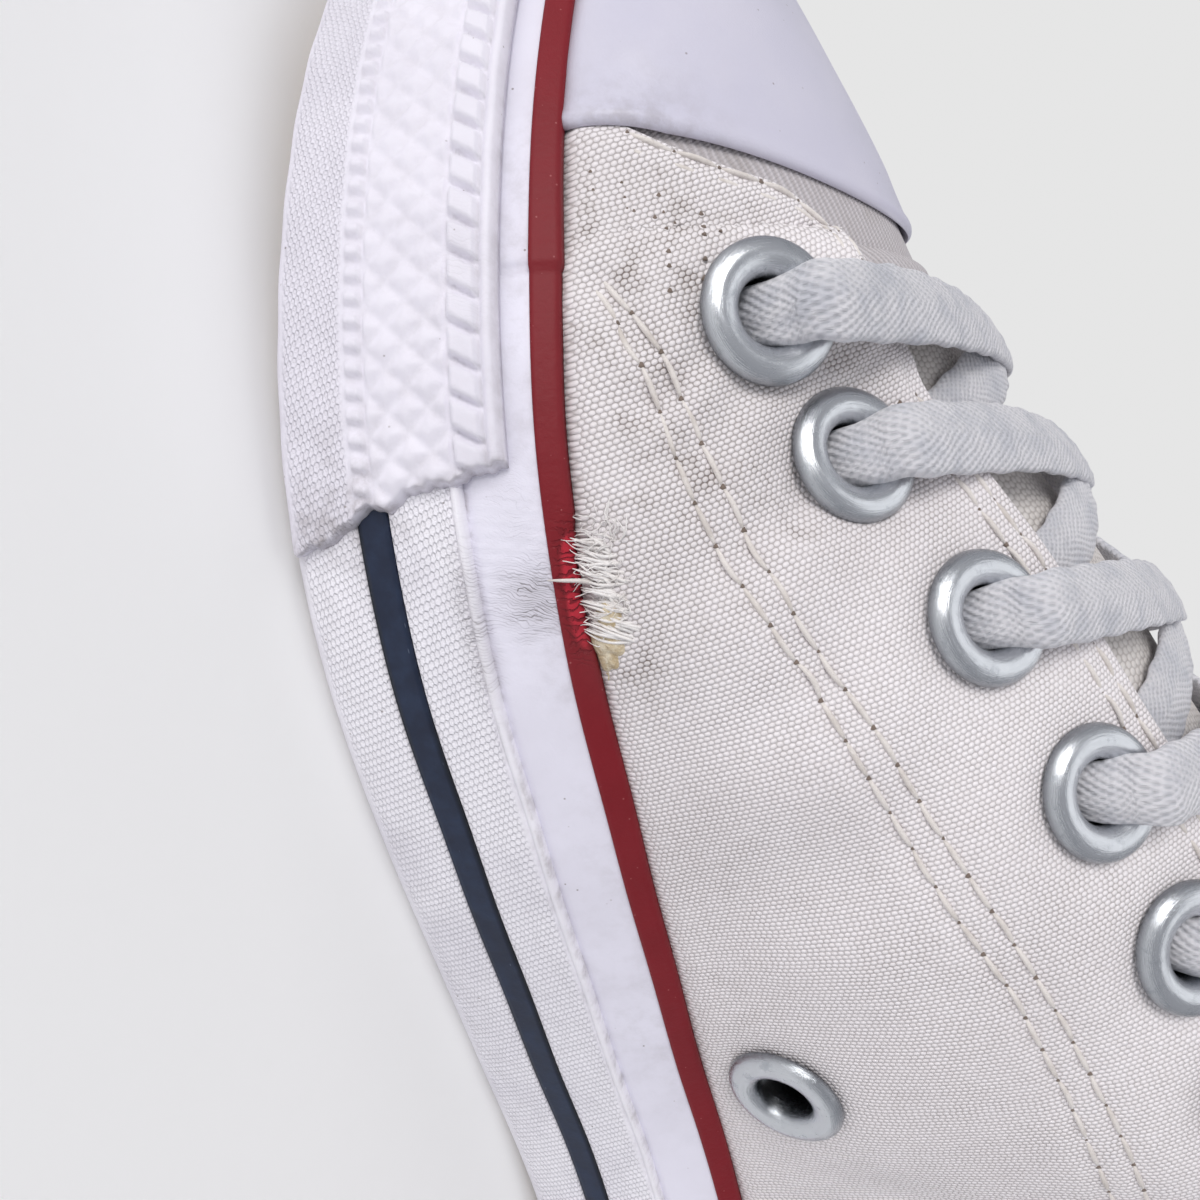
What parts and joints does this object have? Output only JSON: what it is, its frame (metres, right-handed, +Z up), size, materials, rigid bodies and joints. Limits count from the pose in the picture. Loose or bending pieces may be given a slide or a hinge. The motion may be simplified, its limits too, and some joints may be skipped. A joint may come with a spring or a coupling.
{
  "type": "low-top canvas sneaker",
  "caption": "Right low-top lace-up canvas sneaker with a rubber toe cap, embossed toe bumper, striped rubber side wall and flat vulcanised sole, worn at the front joint",
  "frame": {"origin": "on the floor, under the middle of the shoe's bounding box", "axes": "+X points to the toe, +Y to the inner (medial) side of this right shoe, +Z up"},
  "size_m": [0.2734, 0.0996, 0.1095],
  "materials": {
    "canvas": "off-white heavy plain-weave canvas, greyed in the weave",
    "white_rubber": "matte lilac-white vulcanised rubber, dirty along the floor edge",
    "sole_rubber": "tan moulded outsole rubber, scuffed",
    "aluminium": "brushed rolled aluminium",
    "lace": "flat braided cotton, greyed",
    "insole_cloth": "plain cotton over foam",
    "red_rubber": "dark red rubber stripe, cracked and torn at the joint",
    "navy_rubber": "dark navy rubber stripe",
    "thread": "off-white cotton thread, greyed"
  },
  "bodies": {
    "root": {"eyelet_lateral_1": "aluminium", "eyelet_lateral_2": "aluminium", "eyelet_lateral_3": "aluminium", "eyelet_lateral_4": "aluminium", "eyelet_lateral_5": "aluminium", "eyelet_lateral_6": "aluminium", "eyelet_lateral_7": "aluminium", "eyelet_medial_1": "aluminium", "eyelet_medial_2": "aluminium", "eyelet_medial_3": "aluminium", "eyelet_medial_4": "aluminium", "eyelet_medial_5": "aluminium", "eyelet_medial_6": "aluminium", "eyelet_medial_7": "aluminium", "foxing": "white_rubber", "heel_stay": "canvas", "insole": "insole_cloth", "lace_cross_1": "lace", "lace_cross_2": "lace", "lace_cross_3": "lace", "lace_cross_4": "lace", "lace_cross_5": "lace", "lace_cross_6": "lace", "outsole": "sole_rubber", "toe_bumper": "white_rubber", "toe_cap": "white_rubber", "tongue": "canvas", "upper": "canvas", "vent_eyelet_1": "aluminium", "vent_eyelet_2": "aluminium"}
  },
  "joints": []
}
